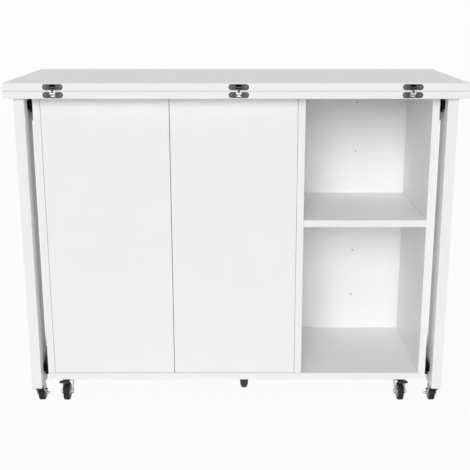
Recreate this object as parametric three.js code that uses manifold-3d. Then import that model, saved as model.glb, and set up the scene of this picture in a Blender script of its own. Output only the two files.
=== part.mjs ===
// Drop leaf kitchen island on casters: a cupboard with two doors and an open bay, a worktop with a
// leaf folded over on to it, and two leg frames that pull out on slides to carry the unfolded leaf.
// Millimetres, +Z up, floor at z = 0, long front facing -Y. Depths are set-backs from the front
// edge of the worktop; the fold axis of the leaf runs along that edge.
import * as THREE from 'three';
import { mergeVertices } from 'three/addons/utils/BufferGeometryUtils.js';
import Module from 'manifold-3d';

// ---- Driving dimensions ----
const overallHeight = 904;
const topWidth = 1180;
const topDepth = 465;
const topThickness = 19.2;
const partingGap = 0.6;

const sideOverhang = 63;
const cabinetWidth = topWidth - 2 * sideOverhang;
const cabinetDepth = 365;
const frontOverhang = 50;
const cabinetClearance = 77;
const board = 19;
const backThickness = 12;
const bayWidth = 328;
const bayShelfHeight = 518;
const cupboardShelfHeight = 470;
const cupboardShelfSetback = 22;
const pinHoleRadius = 2.6;
const pinHoleDepth = 10;
const pinLength = 7;
const pinGroove = 1;
const pinPitch = 32;
const pinFront = 45;
const pinBack = 290;
const railDepth = 90;
const railSetback = 6;
const latch = { width: 20, length: 56, height: 12, apart: 44, plungerRadius: 4 };
const doorSideGap = 0.8;
const doorMeetingGap = 1.5;
const doorTopGap = 2;
const doorBottomGap = 1.2;
const seatGap = 0.3;

const legThickness = 27;
const legPostDepth = 78;
const legPostSetback = 17;
const legClearance = 64;
const legTopGap = 2;
const legRailThickness = 19;
const legRailHeight = 66;
const legRailBelowSlide = 2;
const legStileWidth = 60;
const legCornerRadius = 14;

const slideSpace = 13;
const slideLength = 350;
const slideHeight = 35;
const slideSheet = 1.2;
const slideOuterDepth = 9;
const slideInnerNear = 7.5;
const slideMiddleNear = 2;
const slideMiddleWeb = 5;
const slideMiddleFar = 1.8;
const slideStep = 6;
const upperSlideDrop = 21;
const lowerSlideHeight = 111;

const leftHingeInset = 128;
const rightHingeInset = 144;
const middleHingeOffset = 7;
const hingeStations = [leftHingeInset - topWidth / 2, middleHingeOffset, topWidth / 2 - rightHingeInset];
const hingePlateLength = 51.5;
const hingePlateLow = 2.6;
const hingePlateHigh = 17.2;
const hingePlateThickness = 1.8;
const hingeCupLength = 24;
const hingeCupDepth = 16.5;
const hingePocketWidth = 14.4;
const openEdgeGap = 0.8;
const hingeCupRim = 0.5;
const hingeCupFloor = 1.2;
const forkPivotDepth = 5;
const forkPivotDrop = 13;
const forkTipReach = 5;
const forkTipDrop = 0.5;
const tonguePivotDepth = 4.5;
const tonguePivotRise = 8.5;
const tongueTipReach = 4.5;
const tongueTipRise = 1;
const linkRadius = 1.3;
const barrelRadius = 1.9;
const tongueWidth = 5;
const linkGap = 0.4;
const forkWebRadius = 1;
const forkWebStart = 5;
const forkWebEnd = 4;

const doorCupRadius = 17.5;
const doorCupDepth = 11;
const doorCupEdge = 5;
const doorHingeInset = 95;
const doorFlangeThickness = 1.5;
const doorFlangeHeight = 52;
const doorFlangeMargin = 3;
const doorCupWall = 1.5;
const armWidth = 11;
const armHeight = 15;
const armSheet = 6;
const armFoot = { near: 108, far: 150, wingNear: 118, wingFar: 132, wingSpan: 44, thickness: 6.5 };

const cabinetCaster = {
  height: cabinetClearance, wheelRadius: 25, treadWidth: 17, trail: 20, plateWidth: 46, plateDepth: 60,
  raceRadius: 16, raceHeight: 6.5, pinRadius: 4, headRadius: 7, forkWidth: 30, sheet: 2.2, axleRadius: 3,
  outerAxle: 19, innerAxle: 19,
};
const legCaster = {
  height: legClearance, wheelRadius: 20, treadWidth: 17, trail: 22, plateWidth: 26, plateDepth: 56,
  raceRadius: 11, raceHeight: 4, pinRadius: 3, headRadius: 5.5, forkWidth: 25.4, sheet: 2, axleRadius: 2.5,
  outerAxle: 17, innerAxle: 21,
};
const casterPlate = 2.5;
const kingPinHead = 2.5;
const kingPinRound = 1.5;
const raceRound = 2;
const cheekMargin = 5;
const bridgeDepth = 9;
const bridgeSetIn = 1;
const cheekArcEnd = 1.9 * Math.PI;
const tread = { shoulder: 1.2, round: 4, side: 7, dish: 3 };
const hub = { clearance: 0.3, rim: 4, foot: 6 };
const runningGap = 0.4;
const leftCasterInset = 43;
const rightCasterInset = 61;
const casterSetback = 107;
const legCasterSetback = 65;
const legCasterOffset = 1.5;
const axleNut = 3;
const axleBoss = 2;
const brakeBarReach = 6;
const brakeBarBehindAxle = 13;
const brakeBarDepth = 4;
const brakeBarHeight = 2.5;
const pedalPivotDepth = 9;
const pedalPivotRise = 31;
const pedalPinRadius = 2;
const pedalLength = 34;
const pedalWidth = 16;
const pedalToeReach = 18.5;
const pedalToeDepth = 14;
const pedalThickness = 4;
const pedalDrop = 1.2;
const pedalLever = { radius: 2.4, rise: 3, end: 2 };
const pedalToe = { innerRound: 4, outerRound: 5, rake: 2, taper: 3 };

const footOffset = 21;
const footSetback = 172;
const footRadius = 12;
const footHeight = 27;
const footHeel = 9;
const footStem = 7;
const footFlange = 18;
const footFlangeThickness = 5;
const footNose = 3.5;
const footTaper = 0.5;
const footRound = 1;

// How far joined forms run into each other, and the steps that round edges are cut into
const overlap = 0.5;
const facets = { plain: 6, pin: 5, small: 4, web: 3, nut: 2, bore: 8, turned: 16, wheel: 20 };

// ---- Levels and planes worked out from them ----
const leafBottom = overallHeight - topThickness;
const worktopTop = leafBottom - partingGap;
const worktopBottom = worktopTop - topThickness;
const foldZ = worktopTop + partingGap / 2;
const foldInFront = openEdgeGap / 2;
const standOff = foldInFront + forkTipReach + linkRadius;
const frontEdge = (standOff - topDepth) / 2;
const depthAt = (setback) => frontEdge + setback;
const foldY = depthAt(-foldInFront);

const halfCabinet = cabinetWidth / 2;
const inside = halfCabinet - board;
const cabinetTop = worktopBottom - seatGap;
const panelBottom = cabinetClearance + board + seatGap;
const cabinetBack = frontOverhang + cabinetDepth;
const backFace = cabinetBack - backThickness;
const dividerRight = inside - bayWidth;
const dividerLeft = dividerRight - board;
const legInner = halfCabinet + slideSpace;
const legOuter = legInner + legThickness;
const legCasterX = (legInner + legOuter) / 2 + legCasterOffset;
const legTop = worktopBottom - legTopGap;
const slideEnd = frontOverhang + slideLength;
const upperSlideHeight = worktopBottom - upperSlideDrop;

// ---- Materials ----
const paint = (name, colour, roughness, metalness = 0) =>
  Object.assign(new THREE.MeshStandardMaterial({ color: colour, roughness, metalness }), { name });
const whiteLacquer = paint('white lacquer', 0xf0efef, 0.4);
const legLacquer = paint('leg lacquer', 0xf1f1ef, 0.42);
const gunmetal = paint('gunmetal hinge plate', 0x6a6a6c, 0.4, 0.8);
const brightSteel = paint('bright steel link', 0xc9c9cb, 0.25, 1);
const blackSteel = paint('black slide steel', 0x121214, 0.45, 0.5);
const zinc = paint('zinc plated steel', 0xb4b5b8, 0.35, 0.9);
const blackTyre = paint('black tyre', 0x1c1c1e, 0.7);
const blackPlastic = paint('black plastic', 0x161617, 0.55);

// ---- Solid tools: closed meshes are joined and cut, then handed back as geometry ----
const wasm = await Module();
wasm.setup();

// Merges a closed surface's vertices, drops its flat triangles and turns its faces outwards.
function weld(geometry) {
  const bare = geometry.index ? geometry.toNonIndexed() : geometry.clone();
  bare.deleteAttribute('normal');
  bare.deleteAttribute('uv');
  const merged = mergeVertices(bare, 1e-4);
  const place = merged.attributes.position;
  const corners = [];
  let volume = 0;
  const [a, b, c] = [new THREE.Vector3(), new THREE.Vector3(), new THREE.Vector3()];
  for (let i = 0; i < merged.index.count; i += 3) {
    const [p, q, r] = [0, 1, 2].map((k) => merged.index.getX(i + k));
    if (p === q || q === r || r === p) continue;
    corners.push(p, q, r);
    [a, b, c].forEach((v, k) => v.fromBufferAttribute(place, [p, q, r][k]));
    volume += a.dot(b.cross(c)) / 6;
  }
  if (volume < 0) {
    for (let i = 0; i < corners.length; i += 3) {
      [corners[i], corners[i + 1]] = [corners[i + 1], corners[i]];
    }
  }
  merged.setIndex(corners);
  return merged;
}

function solid(geometry) {
  const merged = weld(geometry);
  return new wasm.Manifold(new wasm.Mesh({
    numProp: 3,
    vertProperties: Float32Array.from(merged.attributes.position.array),
    triVerts: Uint32Array.from(merged.index.array),
  }));
}

function surface(manifold) {
  const mesh = manifold.getMesh();
  const geometry = new THREE.BufferGeometry();
  geometry.setAttribute('position', new THREE.BufferAttribute(Float32Array.from(mesh.vertProperties), 3));
  geometry.setIndex(new THREE.BufferAttribute(Uint32Array.from(mesh.triVerts), 1));
  geometry.computeVertexNormals();
  return geometry;
}

const join = (first, ...others) => others.reduce((whole, piece) => whole.add(piece), first);
const cut = (first, ...others) => others.reduce((whole, piece) => whole.subtract(piece), first);

// A box between two corners.
function box(x0, x1, y0, y1, z0, z1) {
  return solid(new THREE.BoxGeometry(x1 - x0, y1 - y0, z1 - z0)
    .translate((x0 + x1) / 2, (y0 + y1) / 2, (z0 + z1) / 2));
}

// A panel between two X planes, two set-backs and two levels.
const panel = (x0, x1, near, far, z0, z1) => box(x0, x1, depthAt(near), depthAt(far), z0, z1);

const extrude = (shape, length, curveSegments) =>
  new THREE.ExtrudeGeometry(shape, { depth: length, bevelEnabled: false, curveSegments });

// A (y, z) outline carried along X from x0 to x1.
function alongX(shape, x0, x1, curveSegments = facets.plain) {
  const turn = new THREE.Matrix4().makeBasis(
    new THREE.Vector3(0, 1, 0), new THREE.Vector3(0, 0, 1), new THREE.Vector3(1, 0, 0));
  return solid(extrude(shape, x1 - x0, curveSegments).applyMatrix4(turn).translate(x0, 0, 0));
}

// An (x, z) outline carried along Y from y0 to y1.
function alongY(shape, y0, y1, curveSegments = facets.plain) {
  const turn = new THREE.Matrix4().makeBasis(
    new THREE.Vector3(1, 0, 0), new THREE.Vector3(0, 0, 1), new THREE.Vector3(0, -1, 0));
  return solid(extrude(shape, y1 - y0, curveSegments).applyMatrix4(turn).translate(0, y1, 0));
}

const outline = (points) => new THREE.Shape(points.map(([u, v]) => new THREE.Vector2(u, v)));

// A slot outline with round ends, length along u, centred on (u, v).
function stadium(u, v, length, height) {
  const r = height / 2;
  const shape = new THREE.Shape();
  shape.absarc(u + length / 2 - r, v, r, -Math.PI / 2, Math.PI / 2);
  shape.absarc(u - length / 2 + r, v, r, Math.PI / 2, 3 * Math.PI / 2);
  return shape;
}

// A bar with round ends of radius r, from one (u, v) point to another.
function bar(from, to, r) {
  const angle = Math.atan2(to[1] - from[1], to[0] - from[0]);
  const shape = new THREE.Shape();
  shape.absarc(from[0], from[1], r, angle + Math.PI / 2, angle + 3 * Math.PI / 2);
  shape.absarc(to[0], to[1], r, angle - Math.PI / 2, angle + Math.PI / 2);
  return shape;
}

function disc(u, v, r) {
  const shape = new THREE.Shape();
  shape.absarc(u, v, r, 0, 2 * Math.PI);
  return shape;
}

// A turned form: (radius, height) points revolved about a vertical line through (x, y).
function turned(points, x, y, segments = facets.turned) {
  const profile = points.map(([r, z]) => new THREE.Vector2(r, z));
  return solid(new THREE.LatheGeometry(profile, segments).rotateX(Math.PI / 2).translate(x, y, 0));
}

const rod = (radius, z0, z1, x, y) => turned([[0, z0], [radius, z0], [radius, z1], [0, z1]], x, y);

// ---- The model ----
const island = new THREE.Group();
island.name = 'drop_leaf_kitchen_island';

function add(name, manifold, material) {
  const mesh = new THREE.Mesh(surface(manifold), material.clone());
  mesh.name = name;
  island.add(mesh);
  return mesh;
}

// Mirrors a solid in the plane x = 0.
const mirrored = (manifold, flip) => (flip ? manifold.mirror([1, 0, 0]) : manifold);

// ---- Leaf hinge: two cups let into the board edges, and two links that cross between them ----
// The (y, z) sketches are drawn from the fold axis: y into the boards, z up. The fork and the
// tongue each turn on a barrel in their own cup and reach out to meet in front of the edge.
const plateMiddle = (hingePlateLow + hingePlateHigh) / 2;
const plateHeight = hingePlateHigh - hingePlateLow;
const hingeCupHeight = plateHeight - 2 * hingeCupRim;

function hingeCup(x, side) {
  const level = foldZ + side * plateMiddle;
  const face = foldY + foldInFront;
  const plate = alongY(stadium(x, level, hingePlateLength, plateHeight), face, face + hingePlateThickness);
  const cup = alongY(stadium(x, level, hingeCupLength, hingeCupHeight), face + hingePlateThickness - overlap,
    face + hingeCupDepth);
  const half = hingePocketWidth / 2;
  const pocket = box(x - half, x + half, face - overlap, face + hingeCupDepth - hingeCupFloor,
    level - hingeCupHeight / 2, level + hingeCupHeight / 2);
  return cut(join(plate, cup), pocket);
}

function hingeMortise(x, side) {
  const level = foldZ + side * plateMiddle;
  const face = foldY + foldInFront;
  const g = seatGap;
  return join(
    alongY(stadium(x, level, hingePlateLength + 2 * g, plateHeight + 2 * g), face - overlap,
      face + hingePlateThickness + g),
    alongY(stadium(x, level, hingeCupLength + 2 * g, hingeCupHeight + 2 * g), face,
      face + hingeCupDepth + g));
}

// The fork is a channel: two cheeks, a barrel and a web along its front side.
function hingeFork(x) {
  const base = [foldY + forkPivotDepth, foldZ - forkPivotDrop];
  const tip = [foldY - forkTipReach, foldZ - forkTipDrop];
  const angle = Math.atan2(tip[1] - base[1], tip[0] - base[0]);
  const webOffset = linkRadius + linkGap + forkWebRadius / 2;
  const shift = (point, along) => [
    point[0] - Math.sin(angle) * webOffset + Math.cos(angle) * along,
    point[1] + Math.cos(angle) * webOffset + Math.sin(angle) * along];
  const half = hingePocketWidth / 2 - seatGap;
  const inner = tongueWidth / 2 + linkGap;
  const cheek = (x0, x1) => alongX(bar(base, tip, linkRadius), x0, x1, facets.pin);
  const web = bar(shift(base, barrelRadius + linkGap + forkWebStart), shift(tip, -forkWebEnd), forkWebRadius);
  return join(alongX(disc(base[0], base[1], barrelRadius), x - half, x + half),
    cheek(x - half, x - inner), cheek(x + inner, x + half), alongX(web, x - half, x + half, facets.web));
}

function hingeTongue(x) {
  const base = [foldY + tonguePivotDepth, foldZ + tonguePivotRise];
  const tip = [foldY - tongueTipReach, foldZ + tongueTipRise];
  const half = hingePocketWidth / 2 - seatGap;
  const thin = tongueWidth / 2;
  return join(alongX(disc(base[0], base[1], barrelRadius), x - half, x + half),
    alongX(bar(base, tip, linkRadius), x - thin, x + thin, facets.pin));
}

['left', 'middle', 'right'].forEach((station, i) => {
  add(`${station}_lower_hinge_cup`, hingeCup(hingeStations[i], -1), gunmetal);
  add(`${station}_upper_hinge_cup`, hingeCup(hingeStations[i], 1), gunmetal);
  add(`${station}_hinge_fork`, hingeFork(hingeStations[i]), brightSteel);
  add(`${station}_hinge_tongue`, hingeTongue(hingeStations[i]), gunmetal);
});

// ---- Worktop and leaf ----
function topBoard(z0, z1, side) {
  const plain = panel(-topWidth / 2, topWidth / 2, 0, topDepth, z0, z1);
  return cut(plain, ...hingeStations.map((x) => hingeMortise(x, side)));
}
add('worktop', topBoard(worktopBottom, worktopTop, -1), whiteLacquer);
add('leaf', topBoard(leafBottom, overallHeight, 1), whiteLacquer);

// ---- Carcass ----

// Shelf pin holes are drilled in the two faces that the cupboard shelf hangs between.
const pinRadius = pinHoleRadius - seatGap;
const pinLevel = cupboardShelfHeight - pinRadius + pinGroove;
function pinHoles(x0, x1) {
  const holes = [];
  for (const row of [-pinPitch, 0, pinPitch]) {
    for (const setback of [frontOverhang + pinFront, frontOverhang + pinBack]) {
      holes.push(alongX(disc(depthAt(setback), pinLevel + row, pinHoleRadius), x0, x1, facets.pin));
    }
  }
  return holes;
}

const sidePanel = (x0, x1) => panel(x0, x1, frontOverhang, cabinetBack, panelBottom, cabinetTop);
add('left_side_panel', cut(sidePanel(-halfCabinet, -inside),
  ...pinHoles(-inside - pinHoleDepth, -inside + overlap)), whiteLacquer);
add('right_side_panel', sidePanel(inside, halfCabinet), whiteLacquer);
add('divider_panel', cut(
  panel(dividerLeft, dividerRight, frontOverhang, backFace - seatGap, panelBottom, cabinetTop),
  ...pinHoles(dividerLeft - overlap, dividerLeft + pinHoleDepth)), whiteLacquer);
add('back_panel',
  panel(-inside + seatGap, inside - seatGap, backFace, cabinetBack, panelBottom, cabinetTop), whiteLacquer);
add('open_shelf', panel(dividerRight + seatGap, inside - seatGap, frontOverhang, backFace - seatGap,
  bayShelfHeight, bayShelfHeight + board), whiteLacquer);

// The cupboard shelf rests on four pins that stand in the drilled rows and lie in grooves below it.
const shelfPins = (faceX) => [pinFront, pinBack].map((setback) => alongX(
  disc(depthAt(frontOverhang + setback), pinLevel, pinRadius),
  faceX - pinLength, faceX + pinLength, facets.pin));
add('cupboard_shelf', join(
  panel(-inside + seatGap, dividerLeft - seatGap, frontOverhang + board + cupboardShelfSetback,
    backFace - seatGap, cupboardShelfHeight, cupboardShelfHeight + board),
  ...shelfPins(-inside), ...shelfPins(dividerLeft)), whiteLacquer);

// The rail behind the door heads carries two push latches, whose plungers meet the door backs.
const railNear = frontOverhang + board + railSetback;
const openingWidth = dividerLeft + inside;
const doorWidth = (openingWidth - 2 * doorSideGap - doorMeetingGap) / 2;
const doorMeeting = dividerLeft - openingWidth / 2;
function pushLatch(x) {
  const top = cabinetTop - board;
  const body = panel(x - latch.width / 2, x + latch.width / 2, railNear, railNear + latch.length,
    top - latch.height, top + overlap);
  const plunger = alongY(disc(x, top - latch.height / 2, latch.plungerRadius),
    depthAt(frontOverhang + board + seatGap), depthAt(railNear + overlap), facets.pin);
  return join(body, plunger);
}
add('front_top_rail', join(
  panel(-inside + seatGap, dividerLeft - seatGap, railNear, railNear + railDepth,
    cabinetTop - board, cabinetTop),
  pushLatch(doorMeeting - latch.apart), pushLatch(doorMeeting + latch.apart)), whiteLacquer);

// ---- Doors, each with two hinge cups sunk in its back, and the arms that carry them ----
const doorBottom = panelBottom - seatGap + doorBottomGap;
const doorTop = worktopBottom - doorTopGap;
const doorHingeLevels = [doorBottom + doorHingeInset, doorTop - doorHingeInset];
const doorBack = frontOverhang + board;

function door(x0, x1, hingeX, inward) {
  const slab = panel(x0, x1, frontOverhang, doorBack, doorBottom, doorTop);
  const cupX = hingeX + inward * (doorCupEdge + doorCupRadius);
  const flanges = doorHingeLevels.map((z) => {
    const flange = new THREE.Shape();
    flange.absellipse(cupX, z, doorCupRadius + doorFlangeMargin, doorFlangeHeight / 2, 0, 2 * Math.PI);
    return alongY(flange, depthAt(doorBack - overlap), depthAt(doorBack + doorFlangeThickness));
  });
  const bores = doorHingeLevels.map((z) => alongY(disc(cupX, z, doorCupRadius - doorCupWall),
    depthAt(doorBack - doorCupDepth), depthAt(doorBack + doorFlangeThickness + overlap), facets.bore));
  return cut(join(slab, ...flanges), ...bores);
}
const leftDoorX = -inside + doorSideGap;
const rightDoorX = dividerLeft - doorSideGap;
add('left_door', door(leftDoorX, leftDoorX + doorWidth, leftDoorX, 1), whiteLacquer);
add('right_door', door(rightDoorX - doorWidth, rightDoorX, rightDoorX, -1), whiteLacquer);

// A cranked arm on a mounting plate; it stands on a wall face and ends over the door's cup. Its
// plan runs from the foot, round the crank to the tip, and back: (distance from the wall, set-back).
function doorArm(wallX, inward, z) {
  const tip = doorBack + doorFlangeThickness + seatGap;
  const reach = doorSideGap + doorCupEdge + doorCupRadius;
  const half = doorCupRadius / 2 - doorCupWall;
  const plan = [[armSheet, armFoot.far], [armSheet, armFoot.near - 2], [reach - half, tip + armSheet * 2],
    [reach - half + 1, tip], [reach + half, tip], [reach + half / 2, tip + armSheet + 1],
    [reach - half / 2, tip + armSheet * 2 + 1], [armHeight, armFoot.near + 4], [armHeight, armFoot.far]];
  const arm = solid(extrude(outline(plan.map(([x, setback]) => [wallX + inward * x, depthAt(setback)])),
    armWidth, facets.small).translate(0, 0, z - armWidth / 2));
  const [low, high] = [seatGap, armFoot.thickness].map((x) => wallX + inward * x).sort((m, n) => m - n);
  const wing = panel(low, high, armFoot.wingNear, armFoot.wingFar, z - armFoot.wingSpan / 2,
    z + armFoot.wingSpan / 2);
  const spine = panel(low, high, armFoot.near, armFoot.far, z - armWidth / 2, z + armWidth / 2);
  return join(wing, spine, arm);
}
[['left', -inside, 1], ['right', dividerLeft, -1]].forEach(([hand, wallX, inward]) => {
  add(`${hand}_door_lower_hinge_arm`, doorArm(wallX, inward, doorHingeLevels[0]), zinc);
  add(`${hand}_door_upper_hinge_arm`, doorArm(wallX, inward, doorHingeLevels[1]), zinc);
});

// ---- Casters. Each is drawn with its swivel axis on (0, 0) and trails towards -Y ----
// The top plate, race and king pin are one with the board above; the fork turns on the pin.
function casterMount(c) {
  const raceBottom = c.height - casterPlate - c.raceHeight;
  const bridgeBottom = raceBottom - runningGap - c.sheet;
  const plate = box(-c.plateWidth / 2, c.plateWidth / 2, -c.plateDepth / 2, c.plateDepth / 2,
    c.height - casterPlate, c.height + overlap);
  const head = bridgeBottom - runningGap;
  const headBottom = head - kingPinHead;
  const raceTop = c.height - casterPlate + overlap;
  return join(plate, turned([
    [0, headBottom], [c.headRadius - kingPinRound, headBottom], [c.headRadius, headBottom + kingPinRound],
    [c.headRadius, head], [c.pinRadius, head], [c.pinRadius, raceBottom],
    [c.raceRadius - raceRound, raceBottom], [c.raceRadius, raceBottom + raceRound],
    [c.raceRadius, raceTop], [0, raceTop]], 0, 0));
}

function casterFork(c, pedalHoles, brakeTab) {
  const top = c.height - casterPlate - c.raceHeight - runningGap;
  const half = c.forkWidth / 2;
  const r = c.axleRadius + cheekMargin;
  const shoulder = c.raceRadius - bridgeSetIn;
  const lean = Math.atan2(top - c.wheelRadius, c.trail - shoulder);
  const side = new THREE.Shape();
  side.moveTo(shoulder, top);
  side.lineTo(-c.raceRadius, top);
  side.lineTo(-c.trail - r * Math.sin(lean), c.wheelRadius + r * Math.cos(lean));
  side.absarc(-c.trail, c.wheelRadius, r, Math.PI, cheekArcEnd);
  side.lineTo(shoulder, top - bridgeDepth);
  const shell = alongX(side, -half, half);
  const room = box(-half + c.sheet, half - c.sheet, -c.trail - c.wheelRadius, shoulder + overlap,
    0, top - c.sheet);
  const hole = rod(c.pinRadius + runningGap, top - c.sheet - overlap, top + overlap, 0, 0);
  const axle = alongX(disc(-c.trail, c.wheelRadius, c.axleRadius), -c.outerAxle, c.innerAxle, facets.pin);
  const nut = (x0, x1) =>
    alongX(disc(-c.trail, c.wheelRadius, c.axleRadius + axleBoss), x0, x1, facets.nut);
  const body = join(cut(shell, room, hole, ...pedalHoles), axle, nut(-half - axleNut, overlap - half),
    nut(half - overlap, half + axleNut));
  return brakeTab ? join(body, brakeTab) : body;
}

// The brake bar of the small casters lies across the fork, just clear of the tyre.
function brakeBar(c) {
  const reach = c.forkWidth / 2 + brakeBarReach;
  const y = -c.trail + brakeBarBehindAxle;
  const z = 2 * c.wheelRadius - seatGap;
  return box(-reach, reach, y, y + brakeBarDepth, z - brakeBarHeight, z);
}

function casterWheel(c) {
  const side = -c.treadWidth / 2;
  const hubEnd = runningGap + c.sheet - c.forkWidth / 2;
  const R = c.wheelRadius;
  const bore = c.axleRadius + hub.clearance;
  const half = [[R, side + tread.round], [R - tread.shoulder, side + tread.shoulder],
    [R - tread.round, side], [R - tread.side, side], [R - tread.side - 1, side + tread.dish],
    [bore + hub.foot, side + tread.dish], [bore + hub.rim, hubEnd], [bore, hubEnd]];
  const profile = [...half, ...half.map(([r, x]) => [r, -x]).reverse()];
  profile.push(profile[0]);
  const points = profile.map(([r, x]) => new THREE.Vector2(r, x));
  return solid(new THREE.LatheGeometry(points, facets.wheel).rotateZ(-Math.PI / 2)
    .translate(0, -c.trail, c.wheelRadius));
}

// The foot pedal: a lever on a cross pin above the tyre, its toe offset to the outside.
const pedalZ = cabinetCaster.wheelRadius + pedalPivotRise;
const pedalHole = alongX(disc(-pedalPivotDepth, pedalZ, pedalPinRadius + runningGap),
  -cabinetCaster.forkWidth, cabinetCaster.forkWidth, facets.pin);
function pedal(outward) {
  const half = pedalWidth / 2;
  const toeNear = -pedalPivotDepth - pedalLength;
  const toeFar = toeNear + pedalToeDepth;
  const pin = alongX(disc(-pedalPivotDepth, pedalZ, pedalPinRadius),
    -cabinetCaster.forkWidth / 2, cabinetCaster.forkWidth / 2, facets.pin);
  const lever = alongX(
    bar([-pedalPivotDepth, pedalZ], [toeFar - pedalLever.end, pedalZ + pedalLever.rise], pedalLever.radius),
    -half, half, facets.small);
  const { innerRound, outerRound, rake, taper } = pedalToe;
  const toe = new THREE.Shape();
  const inner = -outward * half;
  const outer = outward * pedalToeReach;
  toe.moveTo(inner, toeFar);
  toe.lineTo(inner, toeNear + innerRound);
  toe.quadraticCurveTo(inner, toeNear, inner + outward * innerRound, toeNear);
  toe.lineTo(outer - outward * outerRound, toeNear + rake);
  toe.quadraticCurveTo(outer, toeNear + rake, outer, toeNear + rake + outerRound);
  toe.lineTo(outer - outward * taper, toeFar);
  const plate = solid(extrude(toe, pedalThickness, facets.small).translate(0, 0, pedalZ + pedalDrop));
  return join(pin, lever, plate);
}

const place = (manifold, x, setback, turnedRound) =>
  (turnedRound ? manifold.rotate([0, 0, 180]) : manifold).translate([x, depthAt(setback), 0]);
const rearSetback = frontOverhang + cabinetBack - casterSetback;
const casterStations = [
  ['front_left', -halfCabinet + leftCasterInset, casterSetback, false, -1],
  ['front_right', halfCabinet - rightCasterInset, casterSetback, false, 1],
  ['rear_left', -halfCabinet + leftCasterInset, rearSetback, true, 0],
  ['rear_right', halfCabinet - rightCasterInset, rearSetback, true, 0],
];
for (const [corner, x, setback, rear, outward] of casterStations) {
  const fork = casterFork(cabinetCaster, rear ? [] : [pedalHole]);
  add(`${corner}_caster_fork`, place(fork, x, setback, rear), zinc);
  add(`${corner}_caster_wheel`, place(casterWheel(cabinetCaster), x, setback, rear), blackTyre);
  if (outward) add(`${corner}_brake_pedal`, place(pedal(outward), x, setback, rear), blackPlastic);
}
add('bottom_board', join(
  panel(-halfCabinet, halfCabinet, frontOverhang, cabinetBack, cabinetClearance,
    cabinetClearance + board),
  ...casterStations.map(([, x, setback, rear]) => place(casterMount(cabinetCaster), x, setback, rear))),
whiteLacquer);

// ---- Levelling foot under the middle of the cupboard ----
const flangeBottom = cabinetClearance - footFlangeThickness;
add('centre_foot', turned([
  [0, 0], [footRadius - footNose, 0], [footRadius - footTaper, footHeel],
  [footRadius, footHeight - footRound], [footStem, footHeight], [footStem, flangeBottom - footRound],
  [footFlange, flangeBottom],
  [footFlange, cabinetClearance - seatGap], [0, cabinetClearance - seatGap]],
footOffset, depthAt(footSetback)), blackPlastic);

// ---- Pull-out leg frames: a post with its caster mount, and rails joined by a rear stile ----
const railNearLeg = legPostSetback + legPostDepth + seatGap;
const lowerRailBottom = lowerSlideHeight - slideHeight / 2 - legRailBelowSlide;

function legPost() {
  const post = panel(legInner, legOuter, legPostSetback, legPostSetback + legPostDepth, legClearance, legTop);
  return join(post, place(casterMount(legCaster), legCasterX, legCasterSetback, true));
}

function legRails() {
  const near = depthAt(railNearLeg);
  const far = depthAt(slideEnd);
  const stile = far - legStileWidth;
  const r = legCornerRadius;
  const low = lowerRailBottom;
  const lowTop = low + legRailHeight;
  const highBottom = legTop - legRailHeight;
  const shape = new THREE.Shape();
  shape.moveTo(near, low);
  shape.lineTo(far, low);
  shape.lineTo(far, legTop);
  shape.lineTo(near, legTop);
  shape.lineTo(near, highBottom);
  shape.lineTo(stile - r, highBottom);
  shape.absarc(stile - r, highBottom - r, r, Math.PI / 2, 0, true);
  shape.lineTo(stile, lowTop + r);
  shape.absarc(stile - r, lowTop + r, r, 0, -Math.PI / 2, true);
  shape.lineTo(near, lowTop);
  return alongX(shape, legInner, legInner + legRailThickness, facets.pin);
}

// ---- Three-part slides: sections in (x, z) from the cabinet side, carried along the depth ----
function channel(outerX, innerX, halfHeight, opensOut) {
  const t = slideSheet;
  const web = opensOut ? outerX : innerX;
  const lip = opensOut ? innerX : outerX;
  const inWeb = web + Math.sign(lip - web) * t;
  return [[lip, -halfHeight], [web, -halfHeight], [web, halfHeight], [lip, halfHeight],
    [lip, halfHeight - t], [inWeb, halfHeight - t], [inWeb, -halfHeight + t], [lip, -halfHeight + t]];
}
const slideHalf = slideHeight / 2;
const wall = halfCabinet + seatGap;
const legSide = legInner - seatGap;
const middleHalf = slideHalf - slideSheet - seatGap;
const innerHalf = middleHalf - slideStep;
const middleWeb = wall + slideMiddleWeb;
const outerSection = channel(wall, wall + slideOuterDepth, slideHalf, true);
const innerSection = channel(wall + slideInnerNear, legSide, innerHalf, false);
function middleSection() {
  const t = slideSheet;
  const guide = innerHalf + seatGap;
  const [near, far] = [wall + slideMiddleNear, legSide - slideMiddleFar];
  const upper = [[near, middleHalf], [middleWeb + t, middleHalf], [middleWeb + t, guide + t],
    [far, guide + t], [far, guide], [middleWeb + t, guide]];
  const lower = upper.map(([x, z]) => [x, -z]).reverse();
  return [...upper, ...lower, [near, -middleHalf + t], [middleWeb, -middleHalf + t],
    [middleWeb, middleHalf - t], [near, middleHalf - t]];
}
const slideAt = (section, z, flip) => mirrored(
  alongY(outline(section.map(([x, v]) => [x, v + z])), depthAt(frontOverhang), depthAt(slideEnd)), flip);

[['left', true], ['right', false]].forEach(([hand, flip]) => {
  add(`${hand}_leg_post`, mirrored(legPost(), flip), legLacquer);
  add(`${hand}_leg_rails`, mirrored(legRails(), flip), legLacquer);
  const fork = casterFork(legCaster, [], brakeBar(legCaster));
  add(`${hand}_leg_caster_fork`, mirrored(place(fork, legCasterX, legCasterSetback, true), flip), zinc);
  const wheel = place(casterWheel(legCaster), legCasterX, legCasterSetback, true);
  add(`${hand}_leg_caster_wheel`, mirrored(wheel, flip), blackTyre);
  [['upper', upperSlideHeight], ['lower', lowerSlideHeight]].forEach(([level, z]) => {
    add(`${hand}_${level}_slide_outer`, slideAt(outerSection, z, flip), blackSteel);
    add(`${hand}_${level}_slide_middle`, slideAt(middleSection(), z, flip), blackSteel);
    add(`${hand}_${level}_slide_inner`, slideAt(innerSection, z, flip), blackSteel);
  });
});

export default island;
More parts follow.
